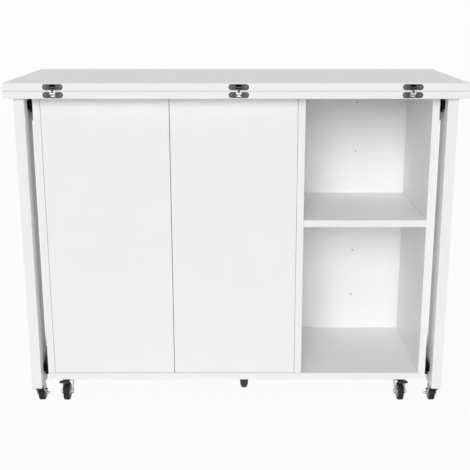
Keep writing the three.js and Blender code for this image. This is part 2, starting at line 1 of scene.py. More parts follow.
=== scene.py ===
"""Looks of a drop leaf kitchen island on casters, dressed on its packed solids.

Metres, +Z up, floor at z = 0, long front facing -Y. The solids of the frame carry the boards,
links, slides and forks; this file gives them their finishes and adds what is too fine for them:
eased board edges, screws, tyres and hubs, nuts, pedal ribs, the stage and the camera.
"""
import math

import bmesh
import bpy
import numpy as np
from bpy.props import FloatProperty, FloatVectorProperty, PointerProperty
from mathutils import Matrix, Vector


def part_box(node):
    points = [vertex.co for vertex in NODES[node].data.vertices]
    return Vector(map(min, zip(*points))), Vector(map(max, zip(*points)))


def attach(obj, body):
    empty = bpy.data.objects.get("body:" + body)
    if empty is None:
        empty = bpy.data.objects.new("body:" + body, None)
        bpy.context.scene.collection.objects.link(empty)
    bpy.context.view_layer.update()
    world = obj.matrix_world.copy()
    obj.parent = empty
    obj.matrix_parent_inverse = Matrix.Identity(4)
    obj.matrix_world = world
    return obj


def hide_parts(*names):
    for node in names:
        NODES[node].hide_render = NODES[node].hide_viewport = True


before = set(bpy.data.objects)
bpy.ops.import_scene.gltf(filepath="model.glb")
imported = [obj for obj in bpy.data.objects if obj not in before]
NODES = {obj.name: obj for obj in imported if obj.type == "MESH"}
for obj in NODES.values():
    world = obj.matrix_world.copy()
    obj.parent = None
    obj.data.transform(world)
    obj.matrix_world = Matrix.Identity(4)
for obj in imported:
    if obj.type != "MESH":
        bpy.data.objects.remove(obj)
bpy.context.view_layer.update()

bl_info = {
    "name": "Drop Leaf Kitchen Island",
    "version": (1, 0, 0),
    "blender": (4, 5, 0),
    "location": "View3D > Sidebar > Island",
    "description": "Dresses the solids of a drop leaf kitchen island and sets its stage",
    "category": "Object",
}

MM = 0.001
HINGES = ("left", "middle", "right")
CORNERS = ("front_left", "front_right", "rear_left", "rear_right")
SIDES = ("left", "right")
ACROSS = np.array([1.0, 0.0, 0.0])
DEEP = np.array([0.0, 1.0, 0.0])
UPWARD = np.array([0.0, 0.0, 1.0])


# ---- Sizes and colours that a user would change ----
def colour(name, description, value):
    """A colour property."""
    return FloatVectorProperty(name=name, description=description, subtype="COLOR", size=3,
                               min=0.0, max=1.0, default=value)


def length(name, description, value):
    """A length property, in metres."""
    return FloatProperty(name=name, description=description, default=value, min=0.0,
                         subtype="DISTANCE", unit="LENGTH")


class IslandFinish(bpy.types.PropertyGroup):
    """Colours, in linear light."""
    lacquer: colour("Lacquer", "White lacquer of the boards", (0.930, 0.925, 0.925))
    leg_lacquer: colour("Leg lacquer", "White lacquer of the leg frames", (0.925, 0.925, 0.912))
    gunmetal: colour("Gunmetal", "Dark plating of the leaf hinges", (0.062, 0.062, 0.066))
    steel: colour("Bright steel", "Links, screws and door cups", (0.600, 0.600, 0.615))
    zinc: colour("Zinc", "Plating of forks, caster plates and hinge arms", (0.440, 0.445, 0.460))
    slide_coat: colour("Slide coat", "Black coat of the slides", (0.004, 0.004, 0.005))
    hub: colour("Hub", "Grey plastic of the wheel hubs and latches", (0.460, 0.460, 0.465))
    hinge_screw: colour("Hinge screw", "Dark plating of the leaf hinges' screws",
                        (0.150, 0.150, 0.155))
    rubber: colour("Rubber", "Tyres", (0.009, 0.009, 0.010))
    plastic: colour("Plastic", "Pedals, brake bars and foot", (0.018, 0.018, 0.019))
    # The recess colour is painted shade: near black on the inside of the hinge cups, where the
    # pocket lies in shade.
    recess: colour("Recess", "Painted shade inside the hinge cups", (0.012, 0.012, 0.012))


class IslandSizes(bpy.types.PropertyGroup):
    """Sizes of what is added to the solids."""
    board_ease: length("Board ease", "Rounding of the lacquered boards' edges", 0.6 * MM)
    leg_ease: length("Leg ease", "Rounding of the leg frames' edges", 1.2 * MM)
    metal_ease: length("Metal ease", "Rounding of the metal edges", 0.35 * MM)
    hinge_screw: length("Hinge screw", "Radius of a leaf hinge screw's head", 3.6 * MM)
    plate_screw: length("Plate screw", "Radius of a pan head screw", 3.9 * MM)
    panel_screw: length("Panel screw", "Radius of a screw head in the back panel", 3.0 * MM)
    slide_screw: length("Slide screw", "Radius of a screw head in a slide", 3.2 * MM)
    caster_screw: length("Caster screw", "Radius of a screw head in a caster's plate", 3.4 * MM)
    groove: length("Groove", "Depth of a tyre's tread grooves", 0.6 * MM)


class IslandStage(bpy.types.PropertyGroup):
    """Camera, floor and lamps."""
    eye: FloatVectorProperty(name="Eye", description="Camera's place", subtype="TRANSLATION",
                             unit="LENGTH", size=3, default=(0.0160, -2.4780, 1.1113))
    pitch: FloatProperty(name="Pitch", description="Camera's tilt below level", subtype="ANGLE",
                         unit="ROTATION", default=math.radians(14.975))
    lens: FloatProperty(name="Lens", description="Focal length on a 36 mm sensor",
                        subtype="DISTANCE_CAMERA", unit="CAMERA", default=67.9)
    shift: FloatProperty(name="Shift", description="Sideways shift of the picture", default=-0.0157)
    floor: colour("Floor", "Floor and backdrop", (0.800, 0.800, 0.800))
    sky: FloatProperty(name="Sky", description="Strength of the even light", default=0.18, min=0.0)
    key: FloatProperty(name="Key", description="Share of white that the front lamp gives",
                       default=0.555, min=0.0)
    fill: FloatProperty(name="Fill", description="Share of white that the side lamp gives",
                        default=0.12, min=0.0)
    top: FloatProperty(name="Top", description="Share of white that the overhead lamp gives",
                       default=0.15, min=0.0)
    veil: FloatProperty(name="Veil", description="How far the floor is whitened to the eye",
                        default=0.94, min=0.0, max=1.0, subtype="FACTOR")


def finish():
    """The colours as they are set now."""
    return bpy.context.scene.island_finish


def sizes():
    """The sizes as they are set now."""
    return bpy.context.scene.island_sizes


# ---- Shader maths ----
class Wire:
    """A socket that takes plain arithmetic: an expression on wires adds its Math nodes."""

    def __init__(self, sheet, socket):
        self.sheet = sheet
        self.socket = socket

    def _math(self, operation, *values):
        return self.sheet.node("ShaderNodeMath", {"operation": operation}, dict(enumerate(values)))

    def __add__(self, other):
        return self._math("ADD", self, other)

    def __rsub__(self, other):
        return self._math("SUBTRACT", other, self)

    def __mul__(self, other):
        return self._math("MULTIPLY", self, other)

    def __pow__(self, other):
        return self._math("POWER", self, other)

    __radd__ = __add__
    __rmul__ = __mul__

    def at_least(self, other):
        return self._math("MAXIMUM", self, other)


class Sheet:
    """The shader nodes of a material or of the world, added one call at a time."""

    def __init__(self, owner):
        owner.use_nodes = True
        self.owner, self.tree = owner, owner.node_tree
        self.tree.nodes.clear()

    def node(self, kind, settings=None, inputs=None, output=0):
        """Adds a node, sets its properties, fills or links its inputs, and gives one output."""
        made = self.tree.nodes.new(kind)
        for key, value in (settings or {}).items():
            setattr(made, key, value)
        for key, value in (inputs or {}).items():
            socket = made.inputs[key]
            if isinstance(value, Wire):
                self.tree.links.new(value.socket, socket)
            elif hasattr(socket.default_value, "__len__") and socket.type == "RGBA":
                socket.default_value = (*value, 1.0)
            else:
                socket.default_value = value
        return Wire(self, made.outputs[output])


class Finish(Sheet):
    """A material whose patterns lie in the object's own coordinates."""

    def __init__(self, name):
        super().__init__(bpy.data.materials.new(name))
        self.place = self.node("ShaderNodeTexCoord", output="Object")

    def noise(self, scale, detail=3.0):
        """Noise of a scale per metre; a scale of three numbers stretches it by axis."""
        if not hasattr(scale, "__len__"):
            return self.node("ShaderNodeTexNoise", None,
                             {"Vector": self.place, "Scale": scale, "Detail": detail})
        stretched = self.node("ShaderNodeMapping", None, {"Vector": self.place, "Scale": scale})
        return self.node("ShaderNodeTexNoise", None,
                         {"Vector": stretched, "Scale": 1.0, "Detail": detail})

    def blend(self, factor, one, other):
        """Colour between one and other, by factor. Mix keeps its colour sockets at these places."""
        return self.node("ShaderNodeMix", {"data_type": "RGBA"},
                         {0: factor, 6: one, 7: other}, output=2)

    def bump(self, height, distance, strength=1.0):
        """A normal for relief of a height from 0 to 1 over a distance in metres."""
        return self.node("ShaderNodeBump", None,
                         {"Height": height, "Distance": distance, "Strength": strength})

    def close(self, surface=None, **sockets):
        """Ends the material in a surface, or else in a Principled shader with these inputs, in
        whose names underscores stand for spaces."""
        if surface is None:
            inputs = {key.replace("_", " "): value for key, value in sockets.items()}
            surface = self.node("ShaderNodeBsdfPrincipled", None, inputs)
        out = self.tree.nodes.new("ShaderNodeOutputMaterial")
        self.tree.links.new(surface.socket, out.inputs["Surface"])
        return self.owner


def tone(value, share):
    """A colour made lighter or darker by a share."""
    return tuple(min(1.0, c * share) for c in value)


# ---- Finishes ----
# Noise scales along x, y and z: low along a streak and high across it.
PLATE_STREAKS = (140.0, 1960.0, 1960.0)
CUP_STREAKS = (140.0, 2000.0, 2000.0)
SLIDE_WIPES = (300.0, 6.0, 300.0)
# How far behind a cup's face its painted shade begins and is complete: a near-black colour laid on
# the pocket's inside, where it lies in shade.
PAINTED_SHADE_FROM, PAINTED_SHADE_TO = 0.1 * MM, 0.9 * MM


def lacquer(name, value):
    """Sprayed satin lacquer: faint orange peel 2 to 3 mm across, and slow drift in tone and
    gloss."""
    f = Finish(name)
    drift = f.noise(7.0, 2.0)
    peel = f.noise(420.0, 2.0)
    scuff = f.noise(36.0, 4.0)
    return f.close(Base_Color=f.blend(drift, tone(value, 0.985), tone(value, 1.010)),
                   Roughness=(0.30 + scuff * 0.16), Normal=f.bump(peel, 0.00003, 0.35),
                   Specular_IOR_Level=0.40)


def plated(name, value, metallic, rough):
    """Plated sheet steel, with fine drawn streaks along its length and duller blooms."""
    f = Finish(name)
    streaks = f.noise(PLATE_STREAKS)
    bloom = f.noise(90.0, 3.0)
    return f.close(Base_Color=f.blend(bloom, tone(value, 0.86), tone(value, 1.10)),
                   Metallic=metallic, Roughness=(rough - 0.07 + streaks * 0.10 + bloom * 0.06),
                   Normal=f.bump(streaks, 0.00002, 0.4))


def cup_plating_with_painted_shade(name, value, painted_shade, face):
    """Gunmetal on the cup's plate, and a dark lining behind it, inside the board."""
    f = Finish(name)
    streaks = f.noise(CUP_STREAKS)
    depth = f.node("ShaderNodeSeparateXYZ", None, {0: f.place}, output=1)
    # Painted shade: 0 at the cup's face, rising to 1 where the near-black colour inside the pocket
    # is complete.
    inside = f.node("ShaderNodeMapRange", {"interpolation_type": "SMOOTHSTEP"}, {
        "Value": depth, "From Min": face + PAINTED_SHADE_FROM, "From Max": face + PAINTED_SHADE_TO})
    shell = f.blend(f.noise(90.0, 3.0), tone(value, 0.80), tone(value, 1.20))
    return f.close(Base_Color=f.blend(inside, shell, painted_shade), Metallic=0.45 - inside * 0.45,
                   Roughness=(0.34 + streaks * 0.12 + inside * 0.50),
                   Normal=f.bump(streaks, 0.00002, 0.4), Specular_IOR_Level=0.30)


def galvanised(name, value):
    """Zinc plating: clouded patches a few millimetres across over a fine grain."""
    f = Finish(name)
    patches = f.node("ShaderNodeTexVoronoi", {"feature": "SMOOTH_F1"},
                     {"Vector": f.place, "Scale": 160.0, "Smoothness": 0.7})
    grain = f.noise(900.0, 2.0)
    return f.close(Base_Color=f.blend(patches, tone(value, 0.82), tone(value, 1.14)),
                   Metallic=0.85, Roughness=(0.30 + patches * 0.14 + grain * 0.05),
                   Normal=f.bump(grain, 0.00002, 0.5))


def coated_black(name, value):
    """Black coat on slide steel, wiped a little brighter in long streaks."""
    f = Finish(name)
    wiped = f.noise(SLIDE_WIPES)
    return f.close(Base_Color=f.blend(wiped, value, tone(value, 2.2)),
                   Roughness=(0.38 + wiped * 0.18), Normal=f.bump(wiped, 0.00002, 0.5),
                   Specular_IOR_Level=0.22)


def rubbery(name, value):
    """Tyre rubber: fine pebble grain, dusted lighter in patches."""
    f = Finish(name)
    grain = f.noise(1500.0, 3.0)
    dust = f.noise(60.0, 4.0)
    return f.close(Base_Color=f.blend(dust ** 2.0, value, tone(value, 3.2)),
                   Roughness=(0.62 + grain * 0.22), Normal=f.bump(grain, 0.00006, 0.8),
                   Specular_IOR_Level=0.35)


def moulded(name, value):
    """Moulded plastic with a fine spark-eroded grain."""
    f = Finish(name)
    grain = f.noise(2200.0, 2.0)
    flow = f.noise(30.0, 2.0)
    return f.close(Base_Color=f.blend(flow, tone(value, 0.85), tone(value, 1.35)),
                   Roughness=(0.38 + grain * 0.22), Normal=f.bump(grain, 0.00004, 0.6))


def cast_finishes():
    """The object's finishes by their plain names."""
    c = finish()
    return {
        "lacquer": lacquer("white lacquer", c.lacquer),
        "leg lacquer": lacquer("leg lacquer", c.leg_lacquer),
        # The cups' plating, with painted shade in near black inside their pockets.
        "cup": cup_plating_with_painted_shade("hinge cup plating with painted shade", c.gunmetal, c.recess,
                           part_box("left_lower_hinge_cup")[0].y),
        "gunmetal": plated("gunmetal plating", c.gunmetal, 0.75, 0.38),
        "dark screw": plated("dark screw plating", c.hinge_screw, 0.80, 0.36),
        "hub": moulded("grey hub plastic", c.hub),
        "steel": plated("bright steel", c.steel, 1.0, 0.26),
        "zinc": galvanised("zinc plating", c.zinc),
        "slide": coated_black("black slide coat", c.slide_coat),
        "rubber": rubbery("tyre rubber", c.rubber),
        "plastic": moulded("black moulded plastic", c.plastic),
    }


FINISHES = {}


# ---- Surfaces ----
def quads(points, wrap=False):
    """A grid of points (rows by columns) and its quads; wrap joins the last column to the first."""
    rows, cols = points.shape[:2]
    i, j = np.meshgrid(np.arange(rows - 1), np.arange(cols if wrap else cols - 1), indexing="ij")
    i2, j2 = i + 1, (j + 1) % cols
    faces = np.stack([i * cols + j, i2 * cols + j, i2 * cols + j2, i * cols + j2], -1)
    return points.reshape(-1, 3), faces.reshape(-1, 4)


def square_to(axis):
    """Two directions at right angles to an axis and to each other."""
    side = np.cross(axis, UPWARD if abs(axis[2]) < 0.9 else ACROSS)
    side /= np.linalg.norm(side)
    return side, np.cross(axis, side)


def turned(profile, centre, axis, steps, relief=None):
    """A profile of (radius, height) rows revolved about an axis through centre: the point is
    centre + radius * (side cos a + other sin a) + axis * (height + relief(radius, a, height))."""
    axis = np.asarray(axis, float)
    side, other = square_to(axis)
    r, h = (column[:, None] for column in np.asarray(profile, float).T)
    a = np.linspace(0.0, 2.0 * np.pi, steps, endpoint=False)[None, :]
    lift = h + (relief(r + 0 * a, a + 0 * r, h + 0 * a) if relief else 0.0 * a)
    points = (np.asarray(centre, float) + (r * np.cos(a))[..., None] * side
              + (r * np.sin(a))[..., None] * other + lift[..., None] * axis)
    return quads(points, wrap=True)


def swept(section, path):
    """A closed section of (sideways, upward) points carried along a path; at each point of the
    path the section stands square to the path's direction there."""
    path = np.asarray(path, float)
    ahead = np.gradient(path, axis=0)
    ahead /= np.linalg.norm(ahead, axis=1, keepdims=True)
    reference = np.where(np.abs(ahead[:, 2:3]) < 0.9, UPWARD, DEEP)
    side = np.cross(ahead, reference)
    side /= np.linalg.norm(side, axis=1, keepdims=True)
    up = np.cross(side, ahead)
    section = np.asarray(section, float)
    points = (path[:, None] + section[None, :, :1] * side[:, None]
              + section[None, :, 1:] * up[:, None])
    ends = points.mean(1, keepdims=True)
    points = np.concatenate([np.broadcast_to(ends[:1], points[:1].shape), points,
                             np.broadcast_to(ends[-1:], points[-1:].shape)])
    return quads(points, wrap=True)


def smooth_step(x):
    """0 up to 0, 1 from 1 on, and a smooth rise between."""
    x = np.clip(x, 0.0, 1.0)
    return x * x * (3.0 - 2.0 * x)


# A screw head: faces round it, rings over its dome, and its recess and skirt as shares of its
# radius.
HEAD = {
    "steps": 24, "rings": 7, "outermost": 0.97, "crowding": 0.8, "fullness": 0.6, "lift": 0.02,
    "arm": 0.13, "arm_fade": 0.08, "reach": 0.60, "reach_fade": 0.10, "sink": 0.34,
    "skirt": 0.98, "skirt_depth": 0.35,
}


def screw(centre, axis, radius, rise):
    """A screw head with a cross recess: height = rise * (1 - (r/R)^2)^fullness less a cross-shaped
    sink whose arms fade out at their ends; a short skirt closes it below."""
    def sink(r, a, h):
        x, y = np.abs(r * np.cos(a)), np.abs(r * np.sin(a))
        across, along = np.minimum(x, y), np.maximum(x, y)
        inside = smooth_step((HEAD["arm"] * radius - across) / (HEAD["arm_fade"] * radius) + 0.5)
        inside *= smooth_step((HEAD["reach"] * radius - along) / (HEAD["reach_fade"] * radius))
        return -inside * HEAD["sink"] * radius * (h > 0)
    ring = np.linspace(0.0, HEAD["outermost"], HEAD["rings"]) ** HEAD["crowding"]
    dome = [(k * radius, rise * (1.0 - k ** 2) ** HEAD["fullness"] + HEAD["lift"] * rise)
            for k in ring]
    foot = -HEAD["skirt_depth"] * radius
    profile = dome + [(radius, 0.0), (radius * HEAD["skirt"], foot), (0.0, foot)]
    return turned(profile, centre, axis, HEAD["steps"], sink)


# ---- Pieces ----
# In metres: how near points merge, the size of slivers that go, and how near counts as on a plane.
MERGE, SLIVER, ON_PLANE = 1e-6, 1e-7, 0.01 * MM
# Angles up to which faces are joined as flat, and from which an edge is rounded and shaded sharp.
FLAT_ANGLE, EDGE_ANGLE = math.radians(0.5), math.radians(40.0)


def build_mesh(name, shapes, bend):
    """One mesh of many closed shapes of quads, smooth but where faces meet at more than bend
    degrees."""
    points = np.concatenate([p for p, _ in shapes])
    offsets = np.cumsum([0] + [len(p) for p, _ in shapes[:-1]])
    faces = np.concatenate([f + o for (_, f), o in zip(shapes, offsets)])
    mesh = bpy.data.meshes.new(name)
    mesh.vertices.add(len(points))
    mesh.vertices.foreach_set("co", points.astype(np.float32).ravel())
    mesh.loops.add(faces.size)
    mesh.loops.foreach_set("vertex_index", faces.astype(np.int32).ravel())
    mesh.polygons.add(len(faces))
    mesh.polygons.foreach_set("loop_start", np.arange(0, faces.size, 4, dtype=np.int32))
    mesh.update(calc_edges=True)
    tidy_mesh(mesh)
    mesh.shade_smooth()
    mesh.set_sharp_from_angle(angle=math.radians(bend))
    return mesh


def tidy_mesh(mesh, flat=False, seam=None):
    """Merges doubles and turns faces outwards; flat joins the triangles of a flat face, and a seam
    is a level at which faces are parted."""
    work = bmesh.new()
    work.from_mesh(mesh)
    bmesh.ops.remove_doubles(work, verts=work.verts, dist=MERGE)
    bmesh.ops.dissolve_degenerate(work, edges=work.edges, dist=SLIVER)
    if flat:
        bmesh.ops.dissolve_limit(work, angle_limit=FLAT_ANGLE, verts=work.verts, edges=work.edges)
    if seam is not None:
        everything = [*work.verts, *work.edges, *work.faces]
        bmesh.ops.bisect_plane(work, geom=everything, dist=MERGE, plane_co=(0.0, 0.0, seam),
                               plane_no=UPWARD)
    bmesh.ops.recalc_face_normals(work, faces=work.faces)
    work.to_mesh(mesh)
    work.free()


def piece(name, shapes, look, body, stands_for=(), bend=35.0):
    """A new piece from closed shapes: it rides on a body and takes a finish and a slot."""
    made = bpy.data.objects.new(name, build_mesh(name, shapes, bend))
    bpy.context.scene.collection.objects.link(made)
    made.data.materials.append(FINISHES[look])
    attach(made, body)
    if stands_for:
        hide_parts(*stands_for)
    return made


def dress(node, look):
    """A CAD node keeps its mesh and takes a finish."""
    slots = NODES[node].data.materials
    slots.clear()
    slots.append(FINISHES[look])


def weigh_outer_edges(mesh):
    """Bevel weight 1 on the edges of the mesh's own box, where two of its six planes meet, and 0 on
    the edges of mortises and holes."""
    points = np.empty(len(mesh.vertices) * 3, np.float32)
    mesh.vertices.foreach_get("co", points)
    points = points.reshape(-1, 3)
    ends = np.empty(len(mesh.edges) * 2, np.int32)
    mesh.edges.foreach_get("vertices", ends)
    planes = np.concatenate([points - points.min(0), points.max(0) - points], 1) < ON_PLANE
    shared = planes[ends[0::2]] & planes[ends[1::2]]
    weights = mesh.attributes.new("bevel_weight_edge", "FLOAT", "EDGE")
    weights.data.foreach_set("value", (shared.sum(1) >= 2).astype(np.float32))


def eased(node, look, body, slot, ease, other_look=None, takes_other=None, seam=None,
          outer_only=False):
    """A copy of a CAD node with its edges rounded by a bevel, which stands for the node. Faces
    whose centres pass the takes_other test wear the other look; a seam is a level at which faces
    that reach across it are parted first; outer_only keeps edges of mortises and holes sharp."""
    mesh = NODES[node].data.copy()
    mesh.name = node + "_eased"
    tidy_mesh(mesh, flat=True, seam=seam)
    mesh.materials.clear()
    mesh.materials.append(FINISHES[look])
    if other_look:
        mesh.materials.append(FINISHES[other_look])
        centres = np.empty(len(mesh.polygons) * 3, np.float32)
        mesh.polygons.foreach_get("center", centres)
        other = takes_other(*centres.reshape(-1, 3).T)
        mesh.polygons.foreach_set("material_index", other.astype(np.int32))
    made = bpy.data.objects.new(node + "_eased", mesh)
    bpy.context.scene.collection.objects.link(made)
    rounding = made.modifiers.new("ease", "BEVEL")
    rounding.width, rounding.segments = ease, 2
    if outer_only:
        weigh_outer_edges(mesh)
    rounding.limit_method = "WEIGHT" if outer_only else "ANGLE"
    rounding.angle_limit = EDGE_ANGLE
    rounding.harden_normals = not outer_only
    if outer_only:
        shading = made.modifiers.new("flat faces", "WEIGHTED_NORMAL")
        shading.weight, shading.keep_sharp = 100, True
    mesh.shade_smooth()
    mesh.set_sharp_from_angle(angle=EDGE_ANGLE)
    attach(made, body)
    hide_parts(node)
    return made


def middle_of(node):
    """The middle of a node's box."""
    low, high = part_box(node)
    return (np.array(low) + np.array(high)) / 2.0


def operator(idname, label, text, work):
    """An Operator class that runs one piece of work on the island."""
    def execute(self, context):
        work()
        return {"FINISHED"}
    return type("ISLAND_OT_" + idname, (bpy.types.Operator,), {
        "__doc__": text, "bl_idname": "island." + idname, "bl_label": label,
        "bl_options": {"REGISTER", "UNDO"}, "execute": execute})


# ---- Boards ----
# Thickness of the boards, the gap where boards meet, and how far past a face counts as beyond it.
BOARD, SEAT_GAP, TOUCH = 19.0 * MM, 0.3 * MM, 0.1 * MM
# Undersides of the cupboard's shelf and of the leg posts, and how far the cups' flanges stand out.
SHELF_UNDERSIDE, LEG_UNDERSIDE, CUP_FLANGE = 470.0 * MM, 64.0 * MM, 1.5 * MM
PLAIN_BOARDS = {
    "worktop": "cabinet", "leaf": "leaf", "left_side_panel": "cabinet",
    "right_side_panel": "cabinet", "divider_panel": "cabinet", "open_shelf": "cabinet",
    "back_panel": "cabinet",
}
DOOR_CUP = {"radius": 16.3 * MM, "edge": 22.5 * MM, "depth": 11.5 * MM}


def door_cups(side):
    """(x, z) of the cups' centres in a door's back, over the arms that reach them."""
    low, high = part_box(f"{side}_door")
    x = low.x + DOOR_CUP["edge"] if side == "left" else high.x - DOOR_CUP["edge"]
    return [(x, middle_of(f"{side}_door_{level}_hinge_arm")[2]) for level in ("lower", "upper")]


def make_boards():
    """Boards take lacquer over eased edges; the leg frames take their own lacquer. Caster plates,
    latches, shelf pins and hinge cups that are one solid with a board take metal or plastic."""
    def board(node, body, *other, **options):
        eased(node, "lacquer", body, "white_lacquer", sizes().board_ease, *other, **options)

    for node, body in PLAIN_BOARDS.items():
        board(node, body, outer_only=True)
    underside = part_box("left_side_panel")[0].z - SEAT_GAP - BOARD
    board("bottom_board", "cabinet", "zinc", lambda x, y, z: z < underside - TOUCH)
    rail_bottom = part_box("front_top_rail")[1].z - BOARD
    board("front_top_rail", "cabinet", "hub", lambda x, y, z: z < rail_bottom - TOUCH,
          seam=rail_bottom)
    low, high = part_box("left_side_panel")[1].x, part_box("divider_panel")[0].x
    board("cupboard_shelf", "cabinet", "zinc",
          lambda x, y, z: (x < low + TOUCH) | (x > high - TOUCH) | (z < SHELF_UNDERSIDE - TOUCH))
    for side in SIDES:
        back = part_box(f"{side}_door")[1].y - CUP_FLANGE

        def metal(x, y, z, side=side, back=back):
            sunk = np.zeros(x.shape, bool)
            for cx, cz in door_cups(side):
                near = np.hypot(x - cx, z - cz) < DOOR_CUP["radius"]
                sunk |= near & (y > back - DOOR_CUP["depth"])
            return sunk | (y > back + TOUCH / 2)
        board(f"{side}_door", f"{side}_door", "steel", metal)
        leg = ("leg lacquer", f"{side}_leg", "leg_lacquer", sizes().leg_ease)
        eased(f"{side}_leg_post", *leg, "zinc", lambda x, y, z: z < LEG_UNDERSIDE - TOUCH)
        eased(f"{side}_leg_rails", *leg)


# ---- Leaf hinges ----
# How far a screw lies from the end of a cup's plate, is sunk in it and domes out.
CUP_PLATE = {"screw_inset": 6.6 * MM, "screw_sunk": 0.1 * MM, "screw_rise": 0.5 * MM}


def make_leaf_hinges():
    """Finishes of the cups and links, and a screw at either end of each cup's plate."""
    for hinge in HINGES:
        for level, body in (("lower", "cabinet"), ("upper", "leaf")):
            cup = f"{hinge}_{level}_hinge_cup"
            dress(cup, "cup")
            low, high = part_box(cup)
            x, y, z = (low.x + high.x) / 2, low.y + CUP_PLATE["screw_sunk"], (low.z + high.z) / 2
            reach = (high.x - low.x) / 2 - CUP_PLATE["screw_inset"]
            heads = [screw((x + turn * reach, y, z), -DEEP, sizes().hinge_screw,
                           CUP_PLATE["screw_rise"]) for turn in (-1, 1)]
            piece(f"{hinge}_{level}_hinge_screws", heads, "dark screw", body)
        dress(f"{hinge}_hinge_fork", "steel")
        dress(f"{hinge}_hinge_tongue", "gunmetal")


# ---- Door hinges ----
# Faces are measured from the wall that carries the arm; screws lie above and below the cup's level,
# and the arm's own screw behind the plate's.
DOOR_ARM = {
    "plate_face": 6.2 * MM, "plate_set_in": 52.8 * MM, "plate_screws": 16.0 * MM,
    "plate_rise": 1.6 * MM, "arm_face": 14.7 * MM, "arm_screw": 8.0 * MM, "arm_rise": 1.4 * MM,
    "cup_screws": 20.5 * MM, "cup_rise": 1.2 * MM,
}


def make_door_hinges():
    """Eased arms in zinc, with the screws of the mounting plates and of the cups' flanges."""
    for side, inward in (("left", 1.0), ("right", -1.0)):
        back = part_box(f"{side}_door")[1].y
        for level, (cup_x, cup_z) in zip(("lower", "upper"), door_cups(side)):
            arm = f"{side}_door_{level}_hinge_arm"
            eased(arm, "zinc", "cabinet", "zinc", sizes().metal_ease)
            low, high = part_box(arm)
            wall = low.x if inward > 0 else high.x
            plate, face = (wall + inward * DOOR_ARM[key] for key in ("plate_face", "arm_face"))
            wing = low.y + DOOR_ARM["plate_set_in"]
            radius = sizes().plate_screw
            heads = [screw((plate, wing, cup_z + turn * DOOR_ARM["plate_screws"]), ACROSS * inward,
                           radius, DOOR_ARM["plate_rise"]) for turn in (-1, 1)]
            heads.append(screw((face, wing + DOOR_ARM["arm_screw"], cup_z), ACROSS * inward,
                               radius, DOOR_ARM["arm_rise"]))
            piece(arm + "_screws", heads, "steel", "cabinet")
            heads = [screw((cup_x, back, cup_z + turn * DOOR_ARM["cup_screws"]), DEEP, radius,
                           DOOR_ARM["cup_rise"]) for turn in (-1, 1)]
            piece(f"{side}_door_{level}_cup_screws", heads, "steel", f"{side}_door")


# ---- Slides ----
# Sheet thickness, how far a screw stands out, and the screws' places as shares of the length.
SLIDE = {"sheet": 1.2 * MM, "screw_rise": 1.1 * MM, "screws_at": (0.10, 0.46, 0.68, 0.94)}


def make_slides():
    """Black coat on the slides' sections, and the screws that hold the outer ones."""
    for side, outward in (("left", -1.0), ("right", 1.0)):
        for level in ("upper", "lower"):
            for section in ("outer", "middle", "inner"):
                dress(f"{side}_{level}_slide_{section}", "slide")
            outer = f"{side}_{level}_slide_outer"
            low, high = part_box(outer)
            web = low.x + SLIDE["sheet"] if outward > 0 else high.x - SLIDE["sheet"]
            level_z = (low.z + high.z) / 2
            heads = [screw((web, low.y + at * (high.y - low.y), level_z), ACROSS * outward,
                           sizes().slide_screw, SLIDE["screw_rise"]) for at in SLIDE["screws_at"]]
            piece(outer + "_screws", heads, "zinc", "cabinet")


# ---- Casters ----
# How far a kind's swivel axis lies behind its wheel's centre, the level of its plate's face, and
# half the distances between the plate's screws; how far its tread lies inside the wheel's side; the
# radius of its axle nuts over the corners, and how far they lie from the wheel's middle.
CASTERS = {
    "front": {"axis": 20.0 * MM, "plate": 74.5 * MM, "screws": (17.0 * MM, 24.0 * MM),
              "tread": 3.9 * MM, "nut": 5.9 * MM, "nut_place": 15.0 * MM},
    "rear": {"axis": -20.0 * MM, "plate": 74.5 * MM, "screws": (17.0 * MM, 24.0 * MM),
             "tread": 3.9 * MM, "nut": 5.9 * MM, "nut_place": 15.0 * MM},
    "leg": {"axis": -22.0 * MM, "plate": 61.5 * MM, "screws": (0.0, 23.0 * MM),
            "tread": 1.8 * MM, "nut": 5.3 * MM, "nut_place": 12.7 * MM},
}
PLATE_SCREW_RISE = 1.3 * MM
# The rim as a share of the wheel's radius, and the faces round a tyre and a hub.
RIM, TYRE_STEPS, HUB_STEPS = 0.84, 64, 72
# A tyre's shoulder in millimetres below its tread and inside its side, its grooves as a share of
# half its width and 1 where cut, and the depth and slope of its seat on the rim.
SHOULDER = ((4.0, 0.0), (1.4, 0.8), (0.3, 2.2), (0.0, 3.6))
GROOVE = ((0.16, 0), (0.20, 1), (0.26, 1), (0.30, 0))
SEAT_DEPTH, SEAT_SLOPE = 0.6 * MM, 1.5 * MM
# A hub: its boss from the bore outwards, its sunk web, and its lip from the rim inwards.
HUB = {
    "bore": 3.3 * MM, "set_in": 0.2 * MM, "boss": 2.6 * MM, "boss_round": 3.2 * MM,
    "boss_foot": 3.8 * MM, "web_sunk": 4.0 * MM, "web_from": 5.2 * MM, "web_to": 4.0 * MM,
    "lip_foot": 2.4 * MM, "lip_inner": 1.9 * MM, "lip_outer": 0.5 * MM, "step": 0.6 * MM,
}
# Ridges on the web: a cosine's crests, raised and cut off, that fade in and out along the radius.
SPOKES = {
    "count": 6.0, "gain": 4.0, "cut": 2.6, "height": 2.6 * MM,
    "from": 6.0 * MM, "fade_in": 2.0 * MM, "fade_out": 1.6 * MM,
}
# An axle nut's height, the level where its chamfer starts, the two radii on its top as shares of
# its own, and the angle in degrees from which its edges are sharp.
NUT = {"height": 3.3 * MM, "chamfer": 2.7 * MM, "flat": 0.55, "round": 0.86, "bend": 20.0}
# Ribs across a pedal, from its front edge, and a leg caster's brake bar, from its wheel's centre.
PEDAL_RIBS = {"at": (4.0 * MM, 7.0 * MM, 10.0 * MM), "half": 6.5 * MM, "radius": 0.9 * MM,
              "steps": 12, "rows": 6}
BRAKE_BAR = {"ahead": 15.0 * MM, "depth": 4.0 * MM, "level": 38.45 * MM, "height": 2.5 * MM}


